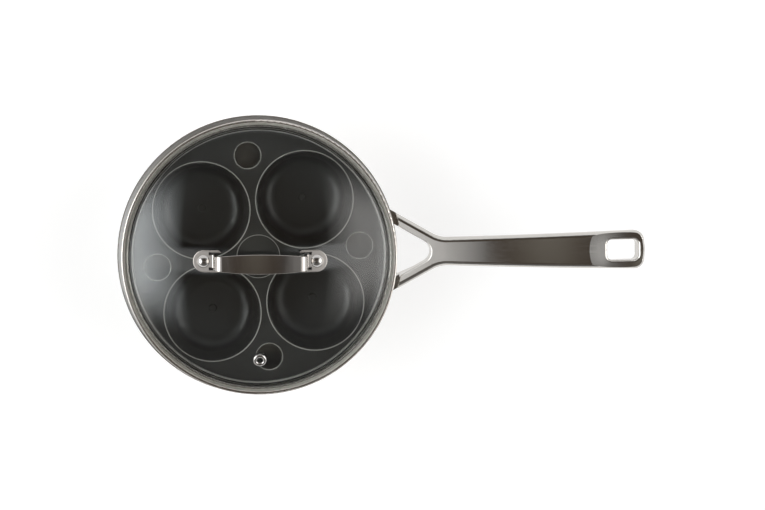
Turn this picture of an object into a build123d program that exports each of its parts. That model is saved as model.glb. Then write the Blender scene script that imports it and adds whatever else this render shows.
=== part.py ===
from build123d import *
import math
import os

# Egg poacher pan with its lid on. Lengths in millimetres, +Z up.
# The origin is the middle of the pan's flat base, and the long handle points along +X.

# Pan: clad sheet with a flared lip and a pressed ledge that carries the tray
pan_height = 68.0
lower_bore_radius = 94.6
ledge_width = 6.5
ledge_drop = 11.0
lip_overhang = 2.5
outer_skin = 0.5
core_layer = 1.5
inner_skin = 0.4
base_round = 14.0
ledge_fold_round = 0.6
ledge_edge_round = 2.6
flare_round = 1.5
flare_angle = 45.0

# Long handle: a fork that joins a flange on the wall, then a grip with a hanging hole
handle_length = 189.0
handle_rise = 27.0
handle_arch_drop = 36.2
handle_thickness = 11.5
fork_root_depth = 9.0
fork_half_spread = 34.7
arm_angle = 30.7
arm_width = 8.2
neck_width = 21.0
grip_end_width = 29.0
grip_end_bow = 1.6
grip_end_round = 7.4
crotch_round = 20.0
window_tip_round = 8.8
lip_relief_gap = 3.6
lip_relief_drop = 10.0
lip_relief_corner_round = 3.0
handle_edge_round = 3.6
window_edge_round = 0.8
hang_hole_length = 22.4
hang_hole_width = 15.0
hang_hole_round = 3.5
hang_hole_margin = 5.6
hang_hole_rim_round = 1.9
dish_radius = 23.0
dish_depth = 1.3
dish_setback = 28.0
root_share = 0.564
flange_height = 17.0
flange_thickness = 3.2
flange_top_gap = 1.2
wall_fit = 0.05

# Rivets that hold the long handle's flange
handle_rivet_angle = 6.6
handle_rivet_radius = 2.6
handle_rivet_head_radius = 4.8
handle_rivet_head_height = 2.0
rivet_hole_clearance = 0.1

# Poaching tray: one pressing of coated aluminium
tray_side_gap = 2.3
tray_sheet = 1.2
tray_bead_width = 3.4
tray_bead_height = 3.0
tray_bead_round = 1.4
tray_bead_foot_round = 0.3
cup_gap = 6.5
cup_wall_gap = 2.85
cup_depth = 26.0
cup_draft = 12.0
cup_floor_round = 12.0
cup_shoulder_round = 1.4
cup_dimple_radius = 3.2
cup_dimple_height = 0.9
cup_dimple_round = 0.8
steam_hole_radius = 9.8
steam_hole_gap = 8.4
steam_hole_round = 0.5
centre_disc_gap = 3.2
centre_disc_height = 0.5
centre_disc_round = 0.3
tray_turn = 4.75
tray_shift_x = 0.96
tray_shift_y = -1.72

# Lid: domed glass in a folded steel band whose skirt drops inside the pan
glass_thickness = 4.0
glass_flat_width = 4.9
glass_knee_round = 9.0
glass_edge_round = 0.8
dome_rise = 22.0
band_setback = 1.9
band_sheet = 0.6
band_fold_round = 1.3
band_foot_round = 0.8
band_top_width = 2.2
skirt_gap = 2.1
skirt_depth = 4.5
skirt_round = 1.0
seal_sheet = 0.5
seal_round = 0.8
seal_top_width = 1.8
seal_bed_width = 3.2
lid_turn = -1.3
lid_shift_x = 1.17
lid_shift_y = -1.28

# Bridge handle on the lid: a bent strap with two feet
rivet_distance = 41.5
foot_width = 16.5
foot_outer_length = 7.8
foot_inner_length = 13.2
foot_inner_round = 2.6
foot_edge_round = 0.6
notch_length = 9.0
notch_gap = 0.9
strap_sheet = 2.0
strap_tip_width = 8.2
strap_end_width = 10.8
strap_mid_width = 14.2
strap_setback = 7.3
strap_clear_height = 18.8
strap_ridge = 3.2
strap_ridge_round = 250.0
strap_top_round = 6.4
strap_foot_round = 1.6
strap_edge_round = 0.5

# Fasteners and washers of the bridge handle
lid_rivet_radius = 2.5
lid_rivet_dome_radius = 4.8
lid_rivet_dome_height = 2.6
lid_rivet_tail_radius = 4.4
lid_rivet_tail_height = 1.8
glass_hole_clearance = 0.8
outer_washer_radius = 7.0
outer_washer_height = 1.0
inner_washer_radius = 6.5
inner_washer_height = 1.2
steel_washer_radius = 6.0
steel_washer_height = 0.8

# Steam vent in the glass
vent_setback = 27.5
vent_bearing = -90.0
vent_bore_radius = 2.1
vent_tube_wall = 0.6
vent_flange_radius = 5.1
vent_tail_radius = 4.4
vent_tail_sheet = 0.6
grommet_wall = 0.9
grommet_flange_radius = 4.7
grommet_flange_height = 0.8

fit_gap = 0.1
overrun = 2.0
near_upright_share = 0.9

# Sizes of the pan that follow from the ones above
wall_thickness = outer_skin + core_layer + inner_skin
upper_bore_radius = lower_bore_radius + ledge_width
upper_outer_radius = upper_bore_radius + wall_thickness
lower_outer_radius = lower_bore_radius + wall_thickness
lip_radius = upper_outer_radius + lip_overhang
flare_start = pan_height - lip_overhang / math.tan(math.radians(flare_angle))
ledge_height = pan_height - ledge_drop
ledge_underside = ledge_height - wall_thickness

# Sizes of the long handle that follow
handle_top = pan_height + handle_rise
handle_reach = lower_outer_radius + handle_length
fork_start = lower_outer_radius - fork_root_depth
arm_slope = math.tan(math.radians(arm_angle))
fork_run = (fork_half_spread - neck_width / 2) / arm_slope
root_reach = lower_outer_radius + root_share * fork_run
arch_run = handle_reach - fork_start
handle_arch_radius = (arch_run**2 + handle_arch_drop**2) / (2 * handle_arch_drop)
arm_middle = fork_half_spread - arm_width / (2 * math.cos(math.radians(arm_angle)))
flange_half_angle = math.degrees(math.asin(arm_middle / lower_outer_radius))
dish_reach = handle_reach - dish_setback
lip_relief_radius = lip_radius + lip_relief_gap
lip_relief_height = pan_height - lip_relief_drop
flange_bottom = ledge_underside - flange_top_gap - flange_height
rivet_hole_radius = handle_rivet_radius + rivet_hole_clearance

# Sizes of the tray that follow: the four cups fill the pan's bore but for their gaps
tray_radius = upper_bore_radius - tray_side_gap
cup_radius = (lower_bore_radius - cup_wall_gap - cup_gap / math.sqrt(2)) / (1 + math.sqrt(2))
cup_spacing = 2 * cup_radius + cup_gap
centre_disc_radius = cup_spacing / math.sqrt(2) - cup_radius - centre_disc_gap
steam_hole_distance = tray_radius - tray_bead_width - steam_hole_gap - steam_hole_radius

# Sizes of the lid that follow
band_radius = lip_radius - band_setback
skirt_radius = upper_bore_radius - skirt_gap
seal_radius = band_radius - band_sheet - fit_gap
glass_radius = seal_radius - seal_sheet
glass_knee_radius = glass_radius - glass_flat_width
dome_radius = (glass_knee_radius**2 + dome_rise**2) / (2 * dome_rise)
inner_dome_radius = dome_radius - glass_thickness
rim_underside = band_sheet + seal_sheet
rim_top = rim_underside + glass_thickness
band_height = rim_top + seal_sheet + band_sheet
dome_apex = rim_top + dome_rise
glass_hole_radius = lid_rivet_radius + glass_hole_clearance
strap_half_span = rivet_distance - strap_setback
strap_underside = dome_apex + strap_clear_height
foot_underside = outer_washer_height
foot_top = foot_underside + strap_sheet
vent_distance = glass_radius - vent_setback
vent_tube_radius = vent_bore_radius + vent_tube_wall
grommet_sleeve_radius = vent_tube_radius + fit_gap + grommet_wall


def turned_plane(shift_x, shift_y, height, turn):
    """Level plane at a place on the pan, turned about the vertical."""
    angle = math.radians(turn)
    return Plane(
        origin=(shift_x, shift_y, height),
        x_dir=(math.cos(angle), math.sin(angle), 0),
        z_dir=(0, 0, 1),
    )


def section_of(plane):
    """Upright plane through a level one: local x runs outward and local y along its axis."""
    return Plane(origin=plane.origin, x_dir=plane.x_dir, z_dir=-plane.y_dir)


def axis_of(plane):
    """Axis that stands square on a plane at its origin."""
    return Axis(plane.origin, plane.z_dir)


tray_plane = turned_plane(tray_shift_x, tray_shift_y, ledge_height, tray_turn)
lid_plane = turned_plane(lid_shift_x, lid_shift_y, pan_height, lid_turn)


def export(builder, name):
    """Labels a finished piece and writes it under its own name."""
    builder.part.label = name
    export_step(builder.part, f"parts/{name}.step")


def wall_line(depth):
    """Line through the pan's wall at a depth below its outer surface, from the axis to the lip."""
    lower = lower_outer_radius - depth
    upper = upper_outer_radius - depth
    flare = flare_start + depth * math.tan(math.radians(flare_angle) / 2)
    edge = upper + (pan_height - flare) * math.tan(math.radians(flare_angle))
    return FilletPolyline(
        (0, depth),
        (lower, depth),
        (lower, ledge_underside + depth),
        (upper, ledge_underside + depth),
        (upper, flare),
        (edge, pan_height),
        radius=[
            base_round - depth,
            ledge_fold_round + depth,
            ledge_edge_round - depth,
            flare_round + depth,
        ],
    )


def wall_plane(angle):
    """Plane square to the wall at a rivet, on the wall's outer surface, facing outward."""
    bearing = math.radians(angle)
    outward = (math.cos(bearing), math.sin(bearing), 0)
    height = flange_bottom + flange_height / 2
    return Plane(
        origin=(lower_outer_radius * outward[0], lower_outer_radius * outward[1], height),
        x_dir=(-outward[1], outward[0], 0),
        z_dir=outward,
    )


rivet_planes = {
    "left": wall_plane(handle_rivet_angle),
    "right": wall_plane(-handle_rivet_angle),
}


def rivet_holes(depth):
    """Cuts the two rivet holes through whatever lies round the wall's outer surface."""
    for plane in rivet_planes.values():
        with BuildSketch(plane) as hole:
            Circle(rivet_hole_radius)
        extrude(hole.sketch, amount=depth, both=True, mode=Mode.SUBTRACT)


def make_ply(name, near_depth, far_depth):
    """One layer of the clad sheet, between two depths below the wall's outer surface."""
    with BuildPart() as ply:
        with BuildSketch(Plane.XZ):
            with BuildLine():
                near = wall_line(near_depth)
                far = wall_line(far_depth)
                Line(near @ 0, far @ 0)
                Line(near @ 1, far @ 1)
            make_face()
        revolve(axis=Axis.Z)
        rivet_holes(wall_thickness + overrun)
    export(ply, name)


def handle_outline():
    """Half of the long handle's outline in plan, from the flange to the tip."""
    with BuildLine() as outline:
        half = FilletPolyline(
            (fork_start, 0),
            (fork_start, fork_half_spread + fork_root_depth * arm_slope),
            (lower_outer_radius + fork_run, neck_width / 2),
            (handle_reach - grip_end_bow, grip_end_width / 2),
            (handle_reach, 0),
            radius=[0, crotch_round, grip_end_round],
        )
        mirror(half, about=Plane.XZ)
    return outline.line


def window_outline():
    """Triangle between the fork's arms, with its rounded tip towards the grip."""
    tip = lower_outer_radius + arm_middle / arm_slope
    tip -= arm_width / (2 * math.sin(math.radians(arm_angle)))
    half_width = (tip - fork_start) * arm_slope
    FilletPolyline(
        (fork_start, half_width), (tip, 0), (fork_start, -half_width), radius=window_tip_round
    )
    Line((fork_start, -half_width), (fork_start, half_width))


def top_height(reach):
    """Height of the long handle's top surface at a distance from the pan's axis."""
    along = handle_reach - reach
    return handle_top - handle_arch_radius + math.sqrt(handle_arch_radius**2 - along**2)


def handle_side():
    """Side view of the long handle: two even arches, and a root that drops to the flange."""
    top_root = (fork_start, top_height(fork_start))
    below_root = (root_reach, top_height(root_reach) - handle_thickness)
    with BuildLine() as side:
        top = TangentArc((handle_reach, handle_top), top_root, tangent=(-1, 0))
        under = TangentArc(
            (handle_reach, handle_top - handle_thickness), below_root, tangent=(-1, 0)
        )
        Polyline(
            under @ 1, (lower_outer_radius, flange_bottom), (fork_start, flange_bottom), top @ 1
        )
        Line(top @ 0, under @ 0)
    return side.line


def edges_of_cut(builder):
    """Edges that the last cut left, without the upright ones and those at the wall."""
    return builder.edges(Select.LAST).filter_by(
        lambda edge: abs(edge.tangent_at(0).Z) < near_upright_share
        and edge.center().X > fork_start + fit_gap
    )


def below_arch(edge):
    """True for an edge in the lower half of the long handle's thickness."""
    return edge.center().Z < top_height(edge.center().X) - handle_thickness / 2


def relief_corners(handle):
    """Upright edges where the relief round the pan's lip meets the fork's window."""
    upright = handle.edges().filter_by(Axis.Z)
    on_relief = upright.filter_by(
        lambda edge: abs(math.hypot(edge.center().X, edge.center().Y) - lip_relief_radius)
        < fit_gap
    )
    return on_relief.sort_by(lambda edge: abs(edge.center().Y))[:2]


def crown_edges(handle):
    """Sharp edges of the long handle's top surface, round the window and the relief."""
    level = handle.faces().filter_by(lambda face: face.normal_at().Z > near_upright_share)
    crown = level.sort_by(SortBy.AREA)[-1]
    walls = handle.faces().filter_by(
        lambda face: abs(face.normal_at().Z) < 1 - near_upright_share
    )
    return crown.edges() & walls.edges()


def make_handle():
    """Long handle with its fork, flange, window, thumb dish and hanging hole."""
    hole_reach = handle_reach - hang_hole_margin - hang_hole_length / 2
    dish_sphere = (dish_radius**2 + dish_depth**2) / (2 * dish_depth)
    flange_outer = lower_outer_radius + flange_thickness
    flange_top = flange_bottom + flange_height
    with BuildPart() as handle:
        with BuildSketch():
            with BuildLine():
                add(handle_outline())
            make_face()
        extrude(amount=handle_top + overrun)
        with BuildSketch(Plane.XZ):
            with BuildLine():
                add(handle_side())
            make_face()
        extrude(amount=fork_half_spread * 2, both=True, mode=Mode.INTERSECT)
        arches = handle.faces().filter_by(
            lambda face: abs(face.normal_at().Z) > near_upright_share
            and face.center().X > root_reach
        )
        outer_edges = arches.edges().filter_by(lambda edge: abs(edge.center().Y) > fit_gap)
        fillet(outer_edges, handle_edge_round)
        with BuildSketch() as window:
            with BuildLine():
                window_outline()
            make_face()
        extrude(window.sketch, amount=handle_top + overrun, mode=Mode.SUBTRACT)
        fillet(edges_of_cut(handle).filter_by(below_arch), window_edge_round)
        with BuildSketch(Plane.XZ) as relief:
            with BuildLine():
                Polyline(
                    (0, flange_top),
                    (upper_outer_radius + wall_fit, flange_top),
                    (upper_outer_radius + wall_fit, lip_relief_height),
                    (lip_relief_radius, lip_relief_height),
                    (lip_relief_radius, handle_top),
                    (0, handle_top),
                    close=True,
                )
            make_face()
        revolve(relief.sketch, axis=Axis.Z, mode=Mode.SUBTRACT)
        fillet(relief_corners(handle), lip_relief_corner_round)
        fillet(crown_edges(handle), window_edge_round)
        with Locations((dish_reach, 0, top_height(dish_reach) - dish_depth + dish_sphere)):
            Sphere(dish_sphere, mode=Mode.SUBTRACT)
        with BuildSketch() as hang_hole:
            with Locations((hole_reach, 0)):
                RectangleRounded(hang_hole_length, hang_hole_width, hang_hole_round)
        extrude(hang_hole.sketch, amount=handle_top + overrun, mode=Mode.SUBTRACT)
        fillet(edges_of_cut(handle), hang_hole_rim_round)
        with BuildSketch(section_of(turned_plane(0, 0, 0, -flange_half_angle))) as flange:
            with BuildLine():
                Polyline(
                    (lower_outer_radius, flange_bottom),
                    (flange_outer, flange_bottom),
                    (flange_outer, flange_top),
                    (lower_outer_radius, flange_top),
                    close=True,
                )
            make_face()
        revolve(flange.sketch, axis=Axis.Z, revolution_arc=2 * flange_half_angle)
        with BuildSketch() as wall:
            Circle(lower_outer_radius + wall_fit)
        extrude(wall.sketch, amount=handle_top, mode=Mode.SUBTRACT)
        rivet_holes(flange_thickness + overrun)
    export(handle, "pan_handle")


def make_rivet(name, plane, shank_radius, head, tail):
    """Rivet on an axis: head and tail are each a radius, a height and the level of their flat."""
    head_radius, head_height, head_level = head
    tail_radius, tail_height, tail_level = tail
    with BuildPart() as rivet:
        with BuildSketch(section_of(plane)):
            with BuildLine():
                dome = TangentArc(
                    (0, head_level + head_height), (head_radius, head_level), tangent=(1, 0)
                )
                button = TangentArc(
                    (0, tail_level - tail_height), (tail_radius, tail_level), tangent=(1, 0)
                )
                Polyline(
                    dome @ 1, (shank_radius, head_level), (shank_radius, tail_level), button @ 1
                )
                Line(dome @ 0, button @ 0)
            make_face()
        revolve(axis=axis_of(plane))
    export(rivet, name)


def cup_planes():
    """Planes of the four cups, level with the underside of the tray's plate."""
    half = cup_spacing / 2
    return [
        Plane(
            origin=tray_plane.from_local_coords((x, y, 0)),
            x_dir=tray_plane.x_dir,
            z_dir=tray_plane.z_dir,
        )
        for x in (-half, half)
        for y in (-half, half)
    ]


def cup_outline(wall, top):
    """Half section of a cup from its axis, a wall larger all round, up to a level."""
    slope = math.tan(math.radians(cup_draft))
    rim = cup_radius + wall / math.cos(math.radians(cup_draft))
    floor = tray_sheet - cup_depth - wall
    bowl = FilletPolyline(
        (0, top),
        (rim + (top - tray_sheet) * slope, top),
        (rim + (floor - tray_sheet) * slope, floor),
        (0, floor),
        radius=[0, cup_floor_round + wall],
    )
    Line(bowl @ 1, bowl @ 0)


def raise_disc(tray, plane, radius, height, edge_round):
    """Presses a low disc up from the top of the sheet, with a hollow on its underside."""
    with BuildSketch(plane) as disc:
        Circle(radius)
    extrude(disc.sketch, amount=height)
    fillet(tray.edges(Select.LAST).sort_by(Axis.Z)[-1], edge_round)
    with BuildSketch(plane.offset(-tray_sheet)) as hollow:
        Circle(radius - tray_sheet / 2)
    extrude(hollow.sketch, amount=height, mode=Mode.SUBTRACT)


def make_tray():
    """Poaching tray: a plate with a raised bead, four cups, four steam holes and a disc."""
    bead_reach = tray_radius - tray_bead_width
    with BuildPart() as tray:
        with BuildSketch(section_of(tray_plane)) as plate:
            with BuildLine() as surface:
                FilletPolyline(
                    (0, tray_sheet),
                    (bead_reach, tray_sheet),
                    (bead_reach, tray_bead_height),
                    (tray_radius, tray_bead_height),
                    (tray_radius, 0),
                    radius=[tray_bead_foot_round, tray_bead_round, tray_bead_round],
                )
                offset(amount=tray_sheet, side=Side.RIGHT, closed=True)
            make_face()
        revolve(plate.sketch, axis=axis_of(tray_plane))
        for plane in cup_planes():
            with BuildSketch(section_of(plane)) as bowl:
                with BuildLine():
                    cup_outline(tray_sheet, tray_sheet)
                make_face()
            revolve(bowl.sketch, axis=axis_of(plane))
        for plane in cup_planes():
            with BuildSketch(section_of(plane)) as hollow:
                with BuildLine():
                    cup_outline(0, tray_sheet + overrun)
                make_face()
            revolve(hollow.sketch, axis=axis_of(plane), mode=Mode.SUBTRACT)
            rim = tray.edges(Select.LAST).filter_by(GeomType.CIRCLE).sort_by(Axis.Z)[-1]
            fillet(rim, cup_shoulder_round)
            raise_disc(
                tray,
                plane.offset(tray_sheet - cup_depth),
                cup_dimple_radius,
                cup_dimple_height,
                cup_dimple_round,
            )
        raise_disc(
            tray,
            tray_plane.offset(tray_sheet),
            centre_disc_radius,
            centre_disc_height,
            centre_disc_round,
        )
        with BuildSketch(tray_plane) as steam_holes:
            with PolarLocations(steam_hole_distance, 4):
                Circle(steam_hole_radius)
        extrude(steam_holes.sketch, amount=tray_sheet, mode=Mode.SUBTRACT)
        fillet(tray.edges(Select.LAST).filter_by(GeomType.CIRCLE), steam_hole_round)
    export(tray, "poaching_tray")


def dome_seat(distance, bearing):
    """Plane square to the glass at a distance from the lid's axis, on its outer surface."""
    angle = math.radians(bearing + lid_turn)
    lean = math.asin(distance / dome_radius)
    outward = Vector(math.cos(angle), math.sin(angle), 0)
    upward = Vector(0, 0, 1)
    normal = outward * math.sin(lean) + upward * math.cos(lean)
    dome_centre = lid_plane.origin + upward * (dome_apex - dome_radius)
    return Plane(
        origin=dome_centre + normal * dome_radius,
        x_dir=outward * math.cos(lean) - upward * math.sin(lean),
        z_dir=normal,
    )


def seat_sag(radius):
    """Depth of the inner dome over a flat washer of a given radius."""
    return radius**2 / (2 * inner_dome_radius)


rivet_seats = {"left": dome_seat(rivet_distance, 180), "right": dome_seat(rivet_distance, 0)}
vent_seat = dome_seat(vent_distance, vent_bearing)


def make_glass():
    """Domed glass with a flat rim, two rivet holes and the vent hole."""
    inner_apex = dome_apex - glass_thickness
    inner_knee = math.sqrt(
        inner_dome_radius**2 - (inner_dome_radius - inner_apex + rim_underside) ** 2
    )
    with BuildPart() as glass:
        with BuildSketch(section_of(lid_plane)) as profile:
            with BuildLine():
                top = TangentArc((0, dome_apex), (glass_knee_radius, rim_top), tangent=(1, 0))
                under = TangentArc((0, inner_apex), (inner_knee, rim_underside), tangent=(1, 0))
                Polyline(
                    top @ 1, (glass_radius, rim_top), (glass_radius, rim_underside), under @ 1
                )
                Line(top @ 0, under @ 0)
            make_face()
            corners = profile.vertices()
            fillet(corners.sort_by_distance((glass_knee_radius, rim_top))[0], glass_knee_round)
            fillet(
                corners.sort_by_distance((inner_knee, rim_underside))[0],
                glass_knee_round + glass_thickness,
            )
            fillet(profile.vertices().group_by(Axis.X)[-1], glass_edge_round)
        revolve(profile.sketch, axis=axis_of(lid_plane))
        for seat in rivet_seats.values():
            with BuildSketch(seat) as hole:
                Circle(glass_hole_radius)
            extrude(hole.sketch, amount=glass_thickness + overrun, both=True, mode=Mode.SUBTRACT)
        with BuildSketch(vent_seat) as vent_hole:
            Circle(grommet_sleeve_radius + fit_gap)
        extrude(vent_hole.sketch, amount=glass_thickness + overrun, both=True, mode=Mode.SUBTRACT)
    export(glass, "lid_glass")


def make_rim(name, sheet, outline, rounds):
    """Ring of folded sheet round the lid: the outline is its outer surface in half section."""
    with BuildPart() as ring:
        with BuildSketch(section_of(lid_plane)):
            with BuildLine():
                FilletPolyline(*outline, radius=rounds)
                offset(amount=sheet, side=Side.RIGHT, closed=True)
            make_face()
        revolve(axis=axis_of(lid_plane))
    export(ring, name)


def make_washer(name, seat, level, radius, height, bore):
    """Flat ring on a seat of the lid, from a level upward."""
    with BuildPart() as washer:
        with BuildSketch(seat.offset(level)):
            Circle(radius)
            Circle(bore, mode=Mode.SUBTRACT)
        extrude(amount=height)
    export(washer, name)


def make_grommet():
    """Soft sleeve in the vent hole, with a flange above and one below the glass."""
    flange_level = -glass_thickness - seat_sag(grommet_flange_radius)
    with BuildPart() as grommet:
        with BuildSketch(vent_seat.offset(flange_level - grommet_flange_height)) as sleeve:
            Circle(grommet_sleeve_radius)
        extrude(sleeve.sketch, amount=2 * grommet_flange_height - flange_level)
        for level in (flange_level - grommet_flange_height, 0):
            with BuildSketch(vent_seat.offset(level)) as flange:
                Circle(grommet_flange_radius)
            extrude(flange.sketch, amount=grommet_flange_height)
        with BuildSketch(vent_seat) as bore:
            Circle(vent_tube_radius + fit_gap)
        extrude(bore.sketch, amount=glass_thickness + overrun, both=True, mode=Mode.SUBTRACT)
    export(grommet, "vent_grommet")


def make_eyelet():
    """Steel eyelet of the vent: a tube with a round bead on top and a turned tail below."""
    tail_level = -glass_thickness - seat_sag(grommet_flange_radius) - grommet_flange_height
    bead_round = (vent_flange_radius - vent_bore_radius) / 2
    with BuildPart() as eyelet:
        with BuildSketch(section_of(vent_seat)):
            with BuildLine():
                bead = ThreePointArc(
                    (vent_bore_radius, grommet_flange_height),
                    (vent_bore_radius + bead_round, grommet_flange_height + bead_round),
                    (vent_flange_radius, grommet_flange_height),
                )
                Polyline(
                    bead @ 1,
                    (vent_tube_radius, grommet_flange_height),
                    (vent_tube_radius, tail_level),
                    (vent_tail_radius, tail_level),
                    (vent_tail_radius, tail_level - vent_tail_sheet),
                    (vent_bore_radius, tail_level - vent_tail_sheet),
                    bead @ 0,
                )
            make_face()
        revolve(axis=axis_of(vent_seat))
    export(eyelet, "vent_eyelet")


def strap_edges(bridge):
    """Edges along both sides of the strap, without the ends of its tongues."""
    return bridge.edges().filter_by(
        lambda edge: abs(lid_plane.to_local_coords(edge.center()).Y) > strap_end_width / 3
        and abs(lid_plane.to_local_coords(edge.center()).X) < rivet_distance
    )


def foot_edges(bridge, seat):
    """Edges round the top of a foot, outside the strap and its notch."""

    def outside(edge):
        middle = seat.to_local_coords(edge @ 0.5)
        on_top = abs(middle.Z - foot_top) < fit_gap
        beside = abs(middle.Y) > strap_end_width / 2 + notch_gap / 2
        beyond = middle.X > foot_outer_length - fit_gap
        return on_top and (beside or beyond)

    near = bridge.edges().filter_by(lambda edge: (edge @ 0.5 - seat.origin).length < foot_width)
    return near.filter_by(outside)


def make_lid_handle():
    """Bridge handle: a crowned strap that bends down into two riveted feet."""
    half_tip = strap_tip_width / 2
    foot_half = foot_width / 2
    ridge = strap_underside + strap_sheet + strap_ridge / 2
    shoulder = ridge - strap_ridge
    seat_lean = math.asin(rivet_distance / dome_radius)
    foot_reach = rivet_distance + foot_top * math.sin(seat_lean)
    foot_level = (
        dome_apex - dome_radius + (dome_radius + foot_top) * math.cos(seat_lean)
    )
    knee_level = foot_level + (foot_reach - strap_half_span) * math.tan(seat_lean)
    with BuildPart() as bridge:
        with BuildSketch(section_of(lid_plane)) as side:
            with BuildLine():
                FilletPolyline(
                    (-foot_reach, foot_level),
                    (-strap_half_span, knee_level),
                    (-strap_half_span, shoulder),
                    (0, ridge),
                    (strap_half_span, shoulder),
                    (strap_half_span, knee_level),
                    (foot_reach, foot_level),
                    radius=[
                        strap_foot_round,
                        strap_top_round,
                        strap_ridge_round,
                        strap_top_round,
                        strap_foot_round,
                    ],
                )
                offset(amount=strap_sheet, side=Side.RIGHT, closed=True)
            make_face()
        extrude(side.sketch, amount=strap_mid_width, both=True)
        with BuildSketch(lid_plane) as plan:
            with BuildLine():
                upper = ThreePointArc(
                    (-foot_reach, half_tip), (0, strap_mid_width / 2), (foot_reach, half_tip)
                )
                lower = ThreePointArc(
                    (-foot_reach, -half_tip), (0, -strap_mid_width / 2), (foot_reach, -half_tip)
                )
                Line(upper @ 1, lower @ 1)
                Line(upper @ 0, lower @ 0)
            make_face()
        extrude(plan.sketch, amount=ridge + overrun, mode=Mode.INTERSECT)
        fillet(strap_edges(bridge), strap_edge_round)
        for seat in rivet_seats.values():
            with BuildSketch(seat.offset(foot_underside)) as foot:
                with Locations((foot_outer_length - foot_half, 0)):
                    Circle(foot_half)
                    Rectangle(
                        foot_inner_length + foot_outer_length - foot_half,
                        foot_width,
                        align=(Align.MAX, Align.CENTER),
                    )
                corners = foot.vertices().group_by(Axis.X)[0]
                fillet(corners, foot_inner_round)
                with Locations((-foot_inner_length, 0)):
                    Rectangle(
                        notch_length,
                        strap_end_width + 2 * notch_gap,
                        align=(Align.MIN, Align.CENTER),
                        mode=Mode.SUBTRACT,
                    )
            extrude(foot.sketch, amount=strap_sheet)
            fillet(foot_edges(bridge, seat), foot_edge_round)
            with BuildSketch(seat) as hole:
                Circle(lid_rivet_radius + rivet_hole_clearance)
            extrude(hole.sketch, amount=foot_top + overrun, mode=Mode.SUBTRACT)
    export(bridge, "lid_handle")


if __name__ == "__main__":
    os.makedirs("parts", exist_ok=True)
    make_ply("pan_outer_skin", 0, outer_skin)
    make_ply("pan_core", outer_skin, outer_skin + core_layer)
    make_ply("pan_inner_skin", outer_skin + core_layer, wall_thickness)
    make_handle()
    inner_head_level = -wall_thickness - handle_rivet_head_radius**2 / (2 * lower_bore_radius)
    for side, plane in rivet_planes.items():
        make_rivet(
            f"handle_rivet_{side}",
            plane,
            handle_rivet_radius,
            (handle_rivet_head_radius, handle_rivet_head_height, flange_thickness),
            (handle_rivet_head_radius, handle_rivet_head_height, inner_head_level),
        )
    make_tray()
    make_glass()
    make_rim(
        "lid_rim_band",
        band_sheet,
        [
            (band_radius - band_top_width, band_height),
            (band_radius, band_height),
            (band_radius, 0),
            (skirt_radius, 0),
            (skirt_radius, -skirt_depth),
        ],
        [band_fold_round, band_foot_round, skirt_round],
    )
    make_rim(
        "lid_rim_seal",
        seal_sheet,
        [
            (seal_radius - seal_top_width, rim_top + seal_sheet),
            (seal_radius, rim_top + seal_sheet),
            (seal_radius, band_sheet),
            (seal_radius - seal_bed_width, band_sheet),
        ],
        [seal_round, seal_round],
    )
    make_lid_handle()
    inner_washer_level = -glass_thickness - seat_sag(inner_washer_radius) - inner_washer_height
    steel_washer_level = inner_washer_level - steel_washer_height
    washer_bore = lid_rivet_radius + fit_gap
    for side, seat in rivet_seats.items():
        make_washer(
            f"outer_washer_{side}", seat, 0, outer_washer_radius, outer_washer_height, washer_bore
        )
        make_washer(
            f"inner_washer_{side}",
            seat,
            inner_washer_level,
            inner_washer_radius,
            inner_washer_height,
            washer_bore,
        )
        make_washer(
            f"steel_washer_{side}",
            seat,
            steel_washer_level,
            steel_washer_radius,
            steel_washer_height,
            washer_bore,
        )
        make_rivet(
            f"lid_rivet_{side}",
            seat,
            lid_rivet_radius,
            (lid_rivet_dome_radius, lid_rivet_dome_height, foot_top),
            (lid_rivet_tail_radius, lid_rivet_tail_height, steel_washer_level),
        )
    make_grommet()
    make_eyelet()
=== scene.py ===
import math

import bpy
from mathutils import Matrix

bl_info = {
    "name": "Egg poacher pan",
    "version": (1, 0, 0),
    "blender": (4, 5, 0),
    "location": "3D View > Sidebar > Poacher pan",
    "description": "Finishes an egg poacher pan with its lid on, and sets up its studio",
    "category": "Object",
}

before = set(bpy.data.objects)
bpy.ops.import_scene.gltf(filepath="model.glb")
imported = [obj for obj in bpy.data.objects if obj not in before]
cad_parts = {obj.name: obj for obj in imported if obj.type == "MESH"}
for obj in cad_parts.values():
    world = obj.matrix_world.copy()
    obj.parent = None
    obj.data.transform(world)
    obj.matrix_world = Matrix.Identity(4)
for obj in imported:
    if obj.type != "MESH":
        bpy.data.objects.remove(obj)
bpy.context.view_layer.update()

# Pressed and punched edges of the poaching tray, in metres and degrees; pale lines painted along them
# are painted highlight and thin worn coating together
TRAY_MIDDLE = (0.00096, -0.00172)
TRAY_TURN = 4.75
CUP_BEARINGS = (45.0, 135.0, 225.0, 315.0)
CUP_REACH = 0.05565
CUP_RADIUS = 0.0370
HOLE_BEARINGS = (0.0, 90.0, 180.0, 270.0)
HOLE_REACH = 0.0772
HOLE_RADIUS = 0.0101
DISC_RADIUS = 0.01635
BEAD_RADII = (0.0961, 0.0985)
HIGHLIGHT_AND_WEAR_WIDTH = 0.00055
DISC_HIGHLIGHT_AND_WEAR_SHARE = 0.6
BEAD_HIGHLIGHT_AND_WEAR_SHARE = 1.5

# Grain of the finishes, in features to a metre
BRUSH_AROUND = 2400
BRUSH_LENGTHWISE = 30
BRUSH_CROSSWISE = 1400
STEEL_CLOUD = 45.0
COATING_GRAIN = 2200.0
COATING_CLOUD = 30.0
GLASS_SMEAR = 25.0
SILICONE_CLOUD = 300.0

# Camera, in metres and degrees
CAMERA_PLACE = (-0.028, 0.1078, 1.018)
CAMERA_ROLL = -1.46032
CAMERA_YAW = -0.42145
CAMERA_PITCH = -3.0
CAMERA_SHIFT_X = 0.20444
CAMERA_SHIFT_Y = -0.09818
SENSOR_WIDTH = 36.0

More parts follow.
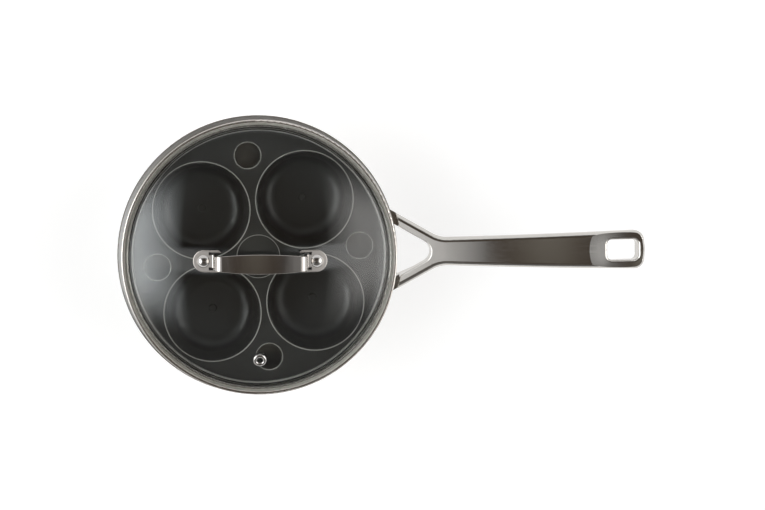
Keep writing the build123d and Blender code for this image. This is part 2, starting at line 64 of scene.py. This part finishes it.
# Studio, in metres, degrees off the zenith and radiances
FLOOR_REACH = 6.0
FLOOR_COLOUR = 0.52
FLOOR_GLOW = 0.62
DEGREES_PER_RADIAN = 57.2958
OVERHEAD_LIGHT = (0.26, 0.245, 0.215, 1.0)
CEILING_LIGHT = (0.082, 0.066, 0.053, 1.0)
WALL_LIGHT = (0.17, 0.165, 0.16, 1.0)
LEFT_LIGHT = (4.7, 4.9, 5.0, 1.0)
RIGHT_LIGHT = (2.15, 2.1, 2.05, 1.0)
LOW_LIGHT = (4.6, 4.6, 4.5, 1.0)
BACK_LIGHT = (1.2, 1.2, 1.2, 1.0)
HORIZON_LIGHT = (1.0, 1.0, 1.0, 1.0)
SOFTBOX_FADE = 14.0
SOFTBOX_NEAR = -31.0
SOFTBOX_FAR = 26.0
LOW_SOFTBOX_REACH = 50.0
GLEAM_REACH = 60.0
GLEAM_STOPS = (
    (0.0, 0.85),
    (0.267, 0.85),
    (0.327, 0.78),
    (0.371, 0.42),
    (0.400, 0.24),
    (0.407, 0.0),
    (0.565, 0.0),
    (0.595, 0.10),
    (0.630, 0.40),
    (0.655, 0.66),
    (0.672, 0.60),
    (0.688, 0.28),
    (0.702, 0.30),
    (0.73, 1.5),
)


class Wire:
    """Output socket of a shader node that takes part in Python sums."""

    def __init__(self, finish, socket):
        self.finish = finish
        self.socket = socket

    def sum(self, operation, *values):
        """Adds the Math node of an operation."""
        return self.finish.node("ShaderNodeMath", {"operation": operation}, dict(enumerate(values)))

    def __add__(self, other):
        return self.sum("ADD", self, other)

    def __radd__(self, other):
        return self.sum("ADD", other, self)

    def __sub__(self, other):
        return self.sum("SUBTRACT", self, other)

    def __rsub__(self, other):
        return self.sum("SUBTRACT", other, self)

    def __mul__(self, other):
        return self.sum("MULTIPLY", self, other)

    def __rmul__(self, other):
        return self.sum("MULTIPLY", other, self)

    def __pow__(self, other):
        return self.sum("POWER", self, other)

    def __rpow__(self, other):
        return self.sum("POWER", other, self)


class Finish:
    """Node material, or the surround of the scene, under construction."""

    def __init__(self, name, world=False):
        if world:
            self.block = bpy.data.worlds.new(name)
        else:
            self.block = bpy.data.materials.new(name)
        self.block.use_nodes = True
        self.tree = self.block.node_tree
        self.tree.nodes.clear()
        self.world = world

    def node(self, kind, settings=None, values=None, output=0):
        """Adds a node, sets it up, fills its sockets and gives one of its outputs."""
        made = self.tree.nodes.new(kind)
        for key, value in (settings or {}).items():
            if key == "stops":
                self.fill_ramp(made.color_ramp, value)
            else:
                setattr(made, key, value)
        for key, value in (values or {}).items():
            if isinstance(value, Wire):
                self.tree.links.new(value.socket, made.inputs[key])
            else:
                made.inputs[key].default_value = value
        return Wire(self, made.outputs[output])

    def fill_ramp(self, ramp, stops):
        """Sets the stops of a colour ramp, each a place and a grey level."""
        while len(ramp.elements) < len(stops):
            ramp.elements.new(1.0)
        for element, (place, level) in zip(ramp.elements, stops):
            element.position = place
            element.color = (level, level, level, 1.0)

    def place(self):
        """Position on the object, in metres."""
        return self.node("ShaderNodeTexCoord", output="Object")

    def parts(self, vector):
        """The three components of a vector."""
        split = self.node("ShaderNodeSeparateXYZ", None, {0: vector})
        return [Wire(self, socket) for socket in split.socket.node.outputs]

    def vector(self, x, y, z):
        """Vector with three components."""
        return self.node("ShaderNodeCombineXYZ", None, {0: x, 1: y, 2: z})

    def noise(self, vector, scale, detail=2.0, roughness=0.5):
        """Smooth noise between 0 and 1."""
        return self.node(
            "ShaderNodeTexNoise",
            None,
            {"Vector": vector, "Scale": scale, "Detail": detail, "Roughness": roughness},
        )

    def spread(self, value, low, high, to_low, to_high, smooth=False):
        """Carries a value from one range to another and holds it there."""
        return self.node(
            "ShaderNodeMapRange",
            {"interpolation_type": "SMOOTHSTEP" if smooth else "LINEAR"},
            {0: value, 1: low, 2: high, 3: to_low, 4: to_high},
        )

    def blend(self, share, first, second):
        """Mix of two colours."""
        return self.node(
            "ShaderNodeMix",
            {"data_type": "RGBA"},
            {0: share, 6: first, 7: second},
            output=2,
        )

    def bump(self, height, strength, distance):
        """Normal of a surface with a little relief."""
        return self.node(
            "ShaderNodeBump", None, {"Height": height, "Strength": strength, "Distance": distance}
        )

    def close(self, surface):
        """Links the last shader to the output and gives the finished material."""
        kind = "ShaderNodeOutputWorld" if self.world else "ShaderNodeOutputMaterial"
        output = self.tree.nodes.new(kind)
        self.tree.links.new(surface.socket, output.inputs["Surface"])
        return self.block


def grey(level, warmth=0.0):
    """Linear colour of a grey with a little warmth."""
    return (level * (1 + warmth), level, level * (1 - warmth), 1.0)


def brushed_steel(name, colour, roughness, around=False, along="x", wear=0.06, grain=1.0):
    """Steel with fine brush lines, along an axis or round the pan's own axis, and soft smears."""
    finish = Finish(name)
    x, y, z = finish.parts(finish.place())
    radius = (x * x + y * y) ** 0.5
    if around:
        lines = finish.vector(radius * BRUSH_AROUND, z * BRUSH_AROUND, 0.0)
    else:
        stretch = {
            "x": (BRUSH_LENGTHWISE, BRUSH_CROSSWISE, BRUSH_CROSSWISE),
            "y": (BRUSH_CROSSWISE, BRUSH_LENGTHWISE, BRUSH_CROSSWISE),
        }[along]
        lines = finish.vector(x * stretch[0], y * stretch[1], z * stretch[2])
    brush = finish.noise(lines, 1.0, 3.0)
    cloud = finish.noise(finish.place(), STEEL_CLOUD, 3.0)
    rough = finish.spread(brush, 0.25, 0.75, roughness - 0.03, roughness + 0.03)
    rough = rough + finish.spread(cloud, 0.35, 0.7, 0.0, wear)
    tone = finish.spread(brush, 0.2, 0.8, 0.90, 1.0)
    values = {
        "Base Color": finish.blend(tone, grey(0.0), colour),
        "Metallic": 1.0,
        "Roughness": rough,
        "Normal": finish.bump(brush, 0.05 * grain, 0.0002),
    }
    if around:
        values.update({"Anisotropic": 0.75, "Anisotropic Rotation": 0.25})
    return finish.close(finish.node("ShaderNodeBsdfPrincipled", None, values))


def tray_edges():
    """Middle, radius and half width of the pale line (painted highlight and worn coating) along each
    pressed or punched edge of the tray.
    """
    edges = []
    for bearings, reach, radius in (
        (CUP_BEARINGS, CUP_REACH, CUP_RADIUS),
        (HOLE_BEARINGS, HOLE_REACH, HOLE_RADIUS),
    ):
        for bearing in bearings:
            angle = math.radians(TRAY_TURN + bearing)
            middle_x = TRAY_MIDDLE[0] + reach * math.cos(angle)
            middle_y = TRAY_MIDDLE[1] + reach * math.sin(angle)
            edges.append(((middle_x, middle_y), radius, HIGHLIGHT_AND_WEAR_WIDTH))
    edges.append((TRAY_MIDDLE, DISC_RADIUS, HIGHLIGHT_AND_WEAR_WIDTH * DISC_HIGHLIGHT_AND_WEAR_SHARE))
    for radius in BEAD_RADII:
        edges.append((TRAY_MIDDLE, radius, HIGHLIGHT_AND_WEAR_WIDTH * BEAD_HIGHLIGHT_AND_WEAR_SHARE))
    return edges


def coating(name, black, highlight_and_wear_colour):
    """Black non-stick coating: smooth satin, with pale lines along the pressed edges that are painted
    highlight and thin worn coating.
    """
    finish = Finish(name)
    place = finish.place()
    x, y, z = finish.parts(place)
    grain = finish.noise(place, COATING_GRAIN, 2.0)
    cloud = finish.noise(place, COATING_CLOUD, 3.0)
    # Mask of the pale edge lines: painted highlight on the rounded edges, together with thin worn
    # coating
    edges = 0.0
    for middle, radius, width in tray_edges():
        dx = x - middle[0]
        dy = y - middle[1]
        off = x.sum("ABSOLUTE", (dx * dx + dy * dy) ** 0.5 - radius)
        edges = x.sum("MAXIMUM", finish.spread(off, width * 0.3, width, 1.0, 0.0, smooth=True), edges)
    highlight_and_wear = edges * finish.spread(cloud, 0.3, 0.7, 0.75, 1.0)
    deep = tuple(0.8 * level for level in black)
    shade = finish.blend(finish.spread(cloud, 0.3, 0.7, 0.0, 1.0), (*deep, 1.0), (*black, 1.0))
    surface = finish.node(
        "ShaderNodeBsdfPrincipled",
        None,
        {
            "Base Color": finish.blend(highlight_and_wear, shade, (*highlight_and_wear_colour, 1.0)),
            "Roughness": finish.spread(cloud, 0.3, 0.7, 0.36, 0.42),
            "Specular IOR Level": 0.5,
            "Normal": finish.bump(grain, 0.006, 0.0001),
        },
    )
    return finish.close(surface)


def clear_glass(name):
    """Tempered glass that bends what is seen through it and lets the light through."""
    finish = Finish(name)
    smear = finish.noise(finish.place(), GLASS_SMEAR, 4.0)
    surface = finish.node(
        "ShaderNodeBsdfPrincipled",
        None,
        {
            "Base Color": (0.97, 0.985, 0.975, 1.0),
            "Roughness": finish.spread(smear, 0.45, 0.8, 0.0, 0.002),
            "IOR": 1.46,
            "Transmission Weight": 1.0,
        },
    )
    shadow = finish.node("ShaderNodeLightPath", output="Is Shadow Ray")
    through = finish.node("ShaderNodeBsdfTransparent", None, {"Color": (0.93, 0.95, 0.94, 1.0)})
    return finish.close(finish.node("ShaderNodeMixShader", None, {0: shadow, 1: surface, 2: through}))


def silicone(name, level):
    """Matt silicone of a grey level."""
    finish = Finish(name)
    cloud = finish.noise(finish.place(), SILICONE_CLOUD, 3.0)
    surface = finish.node(
        "ShaderNodeBsdfPrincipled",
        None,
        {
            "Base Color": finish.blend(cloud, grey(level * 0.85, 0.05), grey(level * 1.15, 0.05)),
            "Roughness": finish.spread(cloud, 0.3, 0.7, 0.5, 0.62),
        },
    )
    return finish.close(surface)


def dress(node, material):
    """Gives a CAD node one material in every slot."""
    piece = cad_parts[node]
    if not piece.material_slots:
        piece.data.materials.append(material)
    for slot in piece.material_slots:
        slot.material = material


class PanSizes(bpy.types.PropertyGroup):
    """Finish of the pan and its handle."""

    steel: bpy.props.FloatVectorProperty(
        name="Steel",
        description="Colour of the pan's steel",
        default=(0.62, 0.60, 0.57),
        size=3,
        subtype="COLOR",
    )
    roughness: bpy.props.FloatProperty(
        name="Roughness",
        description="Roughness of the satin steel",
        default=0.30,
        min=0.0,
        max=1.0,
        subtype="FACTOR",
    )


class TraySizes(bpy.types.PropertyGroup):
    """Finish of the poaching tray."""

    black: bpy.props.FloatVectorProperty(
        name="Coating",
        description="Colour of the non-stick coating",
        default=(0.010, 0.0096, 0.0090),
        size=3,
        subtype="COLOR",
    )
    # Pale colour of the edge lines: painted highlight and worn coating in one
    highlight_and_wear: bpy.props.FloatVectorProperty(
        name="Worn edges",
        description="Colour of the coating where it is thin along the edges",
        default=(0.34, 0.33, 0.31),
        size=3,
        subtype="COLOR",
    )


class StudioSizes(bpy.types.PropertyGroup):
    """Camera and light of the studio."""

    lens: bpy.props.FloatProperty(
        name="Lens",
        description="Focal length of the camera",
        default=59.34,
        unit="CAMERA",
    )
    light: bpy.props.FloatProperty(
        name="Surround",
        description="Strength of the light from all round",
        default=1.0,
        min=0.0,
    )


class POACHER_OT_pan(bpy.types.Operator):
    """Finish the pan's clad sheet"""

    bl_idname = "poacher.pan"
    bl_label = "Pan"

    def execute(self, context):
        sizes = context.scene.poacher_pan
        colour = (*sizes.steel, 1.0)
        outer = brushed_steel("pan steel", colour, sizes.roughness - 0.06, around=True)
        core = brushed_steel("aluminium core", grey(0.72), 0.4, around=True)
        inner = brushed_steel("pan floor steel", colour, sizes.roughness + 0.06, around=True)
        dress("pan_outer_skin", outer)
        dress("pan_inner_skin", inner)
        dress("pan_core", core)
        return {"FINISHED"}


class POACHER_OT_handle(bpy.types.Operator):
    """Finish the long handle and its rivets"""

    bl_idname = "poacher.handle"
    bl_label = "Long handle"

    def execute(self, context):
        colour = (*context.scene.poacher_pan.steel, 1.0)
        cast = brushed_steel("satin cast steel", colour, 0.12, grain=0.3, wear=0.05)
        polished = brushed_steel("polished rivets", grey(0.75, 0.02), 0.12)
        dress("pan_handle", cast)
        for side in ("left", "right"):
            dress(f"handle_rivet_{side}", polished)
        return {"FINISHED"}


class POACHER_OT_tray(bpy.types.Operator):
    """Finish the poaching tray"""

    bl_idname = "poacher.tray"
    bl_label = "Poaching tray"

    def execute(self, context):
        sizes = context.scene.poacher_tray
        dress("poaching_tray", coating("non-stick coating", sizes.black, sizes.highlight_and_wear))
        return {"FINISHED"}


class POACHER_OT_lid(bpy.types.Operator):
    """Finish the lid's glass, band and seal"""

    bl_idname = "poacher.lid"
    bl_label = "Lid"

    def execute(self, context):
        dress("lid_glass", clear_glass("tempered glass"))
        dress("lid_rim_band", brushed_steel("satin band", grey(0.60, 0.05), 0.22, around=True))
        # The seal's grey is set pale partly as painted light, standing in for light that hardly
        # reaches the gap between band and tray
        dress("lid_rim_seal", silicone("seal silicone", 0.72))
        return {"FINISHED"}


class POACHER_OT_bridge(bpy.types.Operator):
    """Finish the bridge handle, its rivets and washers, and the steam vent"""

    bl_idname = "poacher.bridge"
    bl_label = "Bridge handle and vent"

    def execute(self, context):
        # The strap's steel is set darker and warmer than the pan's steel: painted shade standing in
        # for the dark surround it mirrors
        strap = brushed_steel(
            "brushed strap", grey(0.44, 0.06), 0.13, along="y", grain=0.4, wear=0.03
        )
        polished = brushed_steel("polished rivet domes", grey(0.52, 0.03), 0.10)
        soft = silicone("washer silicone", 0.03)
        dress("lid_handle", strap)
        dress("vent_eyelet", polished)
        dress("vent_grommet", soft)
        for side in ("left", "right"):
            dress(f"lid_rivet_{side}", polished)
            dress(f"outer_washer_{side}", soft)
            dress(f"inner_washer_{side}", soft)
            dress(f"steel_washer_{side}", polished)
        return {"FINISHED"}


def studio_floor():
    """Pale floor that keeps the object's shadow and is white to the camera."""
    finish = Finish("pale floor")
    path = finish.node("ShaderNodeLightPath")
    outs = path.socket.node.outputs
    seen = Wire(finish, outs["Is Camera Ray"]) + Wire(finish, outs["Is Glossy Ray"])
    seen = seen + Wire(finish, outs["Is Transmission Ray"])
    lit = finish.node("ShaderNodeBsdfDiffuse", None, {"Color": grey(FLOOR_COLOUR)})
    colour = finish.blend(seen, grey(0.0), grey(FLOOR_GLOW))
    glow = finish.node("ShaderNodeEmission", None, {"Color": colour, "Strength": 1.0})
    material = finish.close(finish.node("ShaderNodeAddShader", None, {0: lit, 1: glow}))
    mesh = bpy.data.meshes.new("studio floor")
    corners = [
        (-FLOOR_REACH, -FLOOR_REACH, 0),
        (FLOOR_REACH, -FLOOR_REACH, 0),
        (FLOOR_REACH, FLOOR_REACH, 0),
        (-FLOOR_REACH, FLOOR_REACH, 0),
    ]
    mesh.from_pydata(corners, [], [(0, 1, 2, 3)])
    floor = bpy.data.objects.new("studio_floor", mesh)
    bpy.context.collection.objects.link(floor)
    floor.data.materials.append(material)


def softbox(finish, across, along, dark, full, near, far):
    """Share of a softbox at a direction: it fades in across and falls off on both sides along."""
    share = finish.spread(across, dark, full, 0.0, 1.0)
    rise = finish.spread(along, near - SOFTBOX_FADE, near + SOFTBOX_FADE, 0.0, 1.0, smooth=True)
    fall = finish.spread(along, far - SOFTBOX_FADE, far + SOFTBOX_FADE, 1.0, 0.0, smooth=True)
    return fall * (rise * share)


def gleam_strip(finish, across, along):
    """Narrow strip of light that the long handle mirrors along its length."""
    strip = finish.spread(along, -14.0, -11.0, 0.0, 1.0, smooth=True)
    strip = finish.spread(along, -2.5, 0.0, 1.0, 0.0, smooth=True) * strip
    gleam = finish.node(
        "ShaderNodeValToRGB",
        {"stops": GLEAM_STOPS},
        {0: finish.spread(across, -GLEAM_REACH, GLEAM_REACH, 0.0, 1.0)},
    )
    return finish.node("ShaderNodeVectorMath", {"operation": "SCALE"}, {0: gleam, "Scale": strip})


def studio_surround(strength):
    """Dark ceiling, a large cool softbox to the left, a weaker one to the right, a pale horizon."""
    finish = Finish("studio surround", world=True)
    direction = finish.node("ShaderNodeTexCoord", output="Generated")
    x, y, z = finish.parts(direction)
    across = x.sum("ARCTAN2", x, z) * DEGREES_PER_RADIAN
    along = y.sum("ARCTAN2", y, z) * DEGREES_PER_RADIAN
    off_zenith = z.sum("ARCCOSINE", z) * DEGREES_PER_RADIAN
    walls = finish.spread(off_zenith, 24.0, 42.0, 0.0, 1.0, smooth=True)
    colour = finish.blend(walls, CEILING_LIGHT, WALL_LIGHT)
    overhead = finish.spread(off_zenith, 3.0, 10.0, 1.0, 0.0, smooth=True)
    colour = finish.blend(overhead, colour, OVERHEAD_LIGHT)
    lit = gleam_strip(finish, across, along)
    colour = finish.node("ShaderNodeVectorMath", {"operation": "MAXIMUM"}, {0: colour, 1: lit})
    left = softbox(finish, across, along, -30.5, -50.0, SOFTBOX_NEAR, SOFTBOX_FAR)
    right = softbox(finish, across, along, 30.0, 45.0, SOFTBOX_NEAR, SOFTBOX_FAR)
    colour = finish.blend(left, colour, LEFT_LIGHT)
    colour = finish.blend(right, colour, RIGHT_LIGHT)
    low_left = softbox(finish, across, along, -48.0, -60.0, -LOW_SOFTBOX_REACH, LOW_SOFTBOX_REACH)
    low_right = softbox(finish, across, along, 52.0, 62.0, -LOW_SOFTBOX_REACH, LOW_SOFTBOX_REACH)
    colour = finish.blend(low_left + low_right, colour, LOW_LIGHT)
    back = finish.spread(along, 46.0, 56.0, 0.0, 0.9, smooth=True)
    colour = finish.blend(back, colour, BACK_LIGHT)
    horizon = finish.spread(off_zenith, 70.0, 80.0, 0.0, 1.0, smooth=True)
    colour = finish.blend(horizon, colour, HORIZON_LIGHT)
    light = finish.node("ShaderNodeBackground", None, {"Color": colour, "Strength": strength})
    bpy.context.scene.world = finish.close(light)


def studio_camera(lens):
    """Camera over the pan, a little behind it, at the photograph's angle."""
    camera = bpy.data.cameras.new("camera")
    camera.lens = lens
    camera.sensor_width = SENSOR_WIDTH
    camera.shift_x = CAMERA_SHIFT_X
    camera.shift_y = CAMERA_SHIFT_Y
    holder = bpy.data.objects.new("camera", camera)
    holder.location = CAMERA_PLACE
    turns = ((CAMERA_ROLL, "Z"), (CAMERA_YAW, "Y"), (CAMERA_PITCH, "X"))
    roll, yaw, pitch = (Matrix.Rotation(math.radians(angle), 3, axis) for angle, axis in turns)
    holder.rotation_euler = (roll @ yaw @ pitch).to_euler()
    bpy.context.collection.objects.link(holder)
    bpy.context.scene.camera = holder


class POACHER_OT_studio(bpy.types.Operator):
    """Set up the floor, the light and the camera"""

    bl_idname = "poacher.studio"
    bl_label = "Studio"

    def execute(self, context):
        sizes = context.scene.poacher_studio
        context.scene.view_settings.view_transform = "Standard"
        studio_floor()
        studio_surround(sizes.light)
        studio_camera(sizes.lens)
        return {"FINISHED"}


class POACHER_PT_sidebar(bpy.types.Panel):
    """Lists the pieces and their sizes"""

    bl_idname = "POACHER_PT_sidebar"
    bl_label = "Poacher pan"
    bl_space_type = "VIEW_3D"
    bl_region_type = "UI"
    bl_category = "Poacher pan"

    def draw(self, context):
        for name in PIECES:
            self.layout.operator(f"poacher.{name}")
        for group in GROUPS:
            settings = getattr(context.scene, group)
            for key in settings.__annotations__:
                self.layout.prop(settings, key)


PIECES = ("pan", "handle", "tray", "lid", "bridge", "studio")
GROUPS = {"poacher_pan": PanSizes, "poacher_tray": TraySizes, "poacher_studio": StudioSizes}
CLASSES = (
    *GROUPS.values(),
    POACHER_OT_pan,
    POACHER_OT_handle,
    POACHER_OT_tray,
    POACHER_OT_lid,
    POACHER_OT_bridge,
    POACHER_OT_studio,
    POACHER_PT_sidebar,
)


def register():
    for each in CLASSES:
        bpy.utils.register_class(each)
    for group, sizes in GROUPS.items():
        setattr(bpy.types.Scene, group, bpy.props.PointerProperty(type=sizes))


def unregister():
    for group in GROUPS:
        delattr(bpy.types.Scene, group)
    for each in reversed(CLASSES):
        bpy.utils.unregister_class(each)


def main():
    register()
    for name in PIECES:
        getattr(bpy.ops.poacher, name)()


if __name__ == "__main__":
    main()
